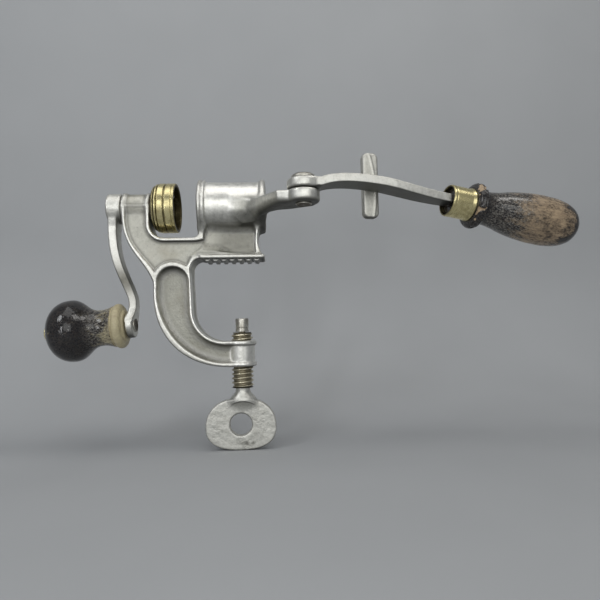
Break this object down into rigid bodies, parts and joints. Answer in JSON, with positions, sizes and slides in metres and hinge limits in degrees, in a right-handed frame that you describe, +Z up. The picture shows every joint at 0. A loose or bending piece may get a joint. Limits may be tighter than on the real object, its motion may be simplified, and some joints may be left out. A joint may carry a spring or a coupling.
{
  "type": "shotshell roll crimper",
  "caption": "Bench-clamped roll crimper: a crank turns a brass die, a barrel holds the shell and a swinging lever pushes it home.",
  "frame": {"origin": "bearing face of the jaw teeth, on the axis of the clamp screw", "axes": "+X along the barrel from the crank to the lever, +Y from front to back, +Z up along the clamp screw"},
  "size_m": [0.2503, 0.0534, 0.1343],
  "materials": {
    "cast_iron": "worn nickel plate over iron, bright on the rims",
    "steel": "turned steel, dulled",
    "brass": "turned brass, aged",
    "painted_wood": "black paint, crazed and worn through to brown wood"
  },
  "bodies": {
    "frame": {"frame_casting": "cast_iron", "pivot_rivet": "steel", "pivot_washer": "steel", "thrust_washer": "brass"},
    "crank": {"spindle": "steel", "die_cup": "brass", "die_core": "steel", "crimp_pins": "steel", "crank_arm": "cast_iron", "knob_pin": "steel", "knob_end_washer": "brass"},
    "knob": {"crank_knob": "painted_wood"},
    "lever": {"lever_bar": "cast_iron", "pusher_bar": "cast_iron", "handle_ferrule": "brass", "lever_handle": "painted_wood"},
    "nose": {"screw_nose": "steel"},
    "screw": {"clamp_screw": "cast_iron"}
  },
  "joints": [
    {"name": "crank_spin", "type": "hinge", "parent": "frame", "child": "crank", "pos_m": [-0.05, 0, 0.0264], "axis": [1, 0, 0], "continuous": true},
    {"name": "knob_spin", "type": "hinge", "parent": "crank", "child": "knob", "pos_m": [-0.0518, 0, -0.0288], "axis": [0.9962, 0, 0.0872], "continuous": true},
    {"name": "lever_swing", "type": "hinge", "parent": "frame", "child": "lever", "pos_m": [0.0286, -0.032, 0.028], "axis": [0, 0, 1], "range_deg": [-100, 84]},
    {"name": "screw_travel", "type": "slide", "parent": "frame", "child": "nose", "axis": [0, 0, 1], "range_m": [-0.01, 0.0085]},
    {"name": "screw_turn", "type": "hinge", "parent": "nose", "child": "screw", "pos_m": [0, 0, -0.05], "axis": [0, 0, 1], "range_deg": [-1801, 1531]}
  ],
  "couplings": [
    {"joint": "screw_turn", "follows": "screw_travel", "rad_per_m": 3141.6}
  ]
}
